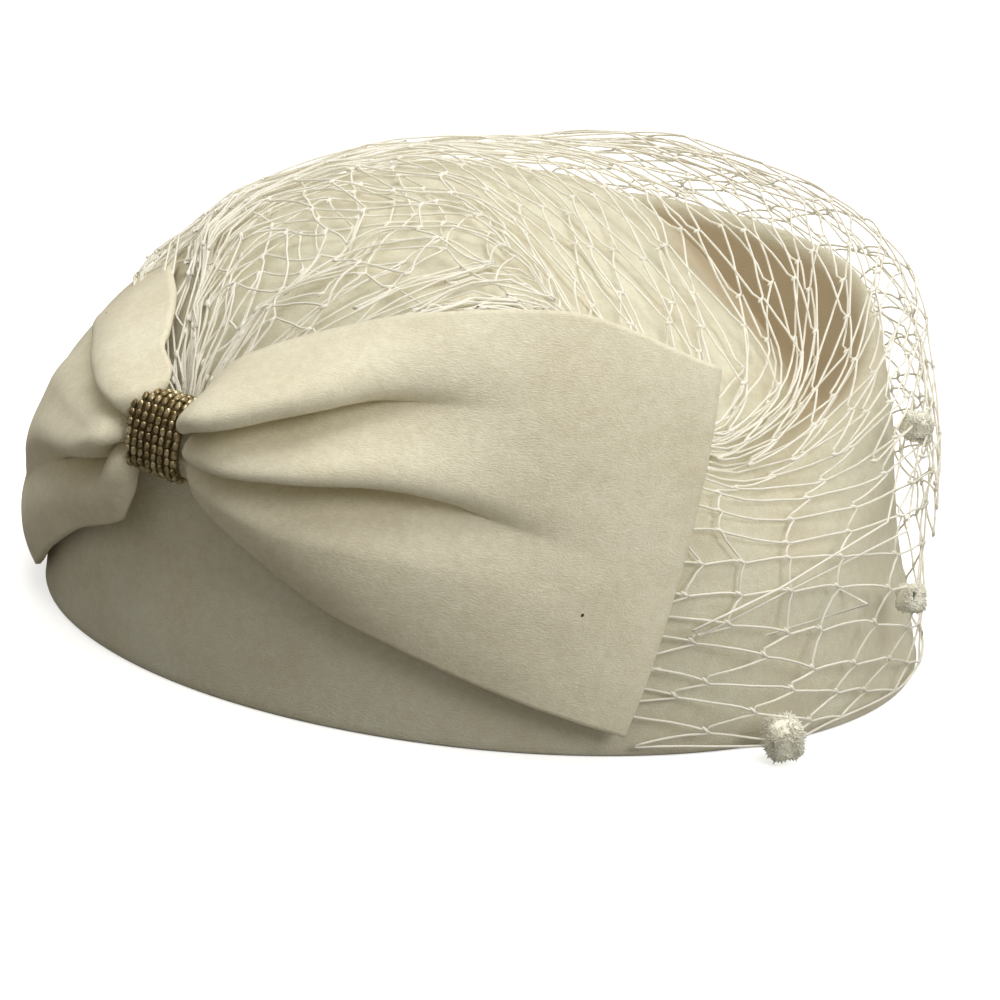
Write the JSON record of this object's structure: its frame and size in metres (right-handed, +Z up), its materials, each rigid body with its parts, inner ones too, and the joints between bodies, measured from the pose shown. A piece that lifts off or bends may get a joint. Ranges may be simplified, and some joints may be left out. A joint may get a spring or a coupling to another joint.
{
  "type": "felt pillbox hat",
  "caption": "Small felt pillbox hat with a swirled dent in its crown, a pinched felt bow with a beaded band, and a coarse net veil with chenille dots.",
  "frame": {"origin": "middle of the hat's box, on the surface that the rim rests on", "axes": "+X along the rim's long axis, the way the veil falls; -Y the side that carries the bow; +Z up through the crown"},
  "size_m": [0.2106, 0.1804, 0.104],
  "materials": {
    "felt": "ivory wool felt, matt with a short nap",
    "bow_felt": "the same wool felt, cut edges bare",
    "beads": "antique gold glass and metal beads, glossy",
    "net": "cream knotted millinery net",
    "chenille": "cream chenille pile"
  },
  "bodies": {
    "root": {"crown": "felt", "bow": "bow_felt", "bead_band": "beads", "veil": "net", "chenille_dot_side": "chenille", "chenille_dot_low": "chenille", "chenille_dot_front": "chenille"}
  },
  "joints": []
}
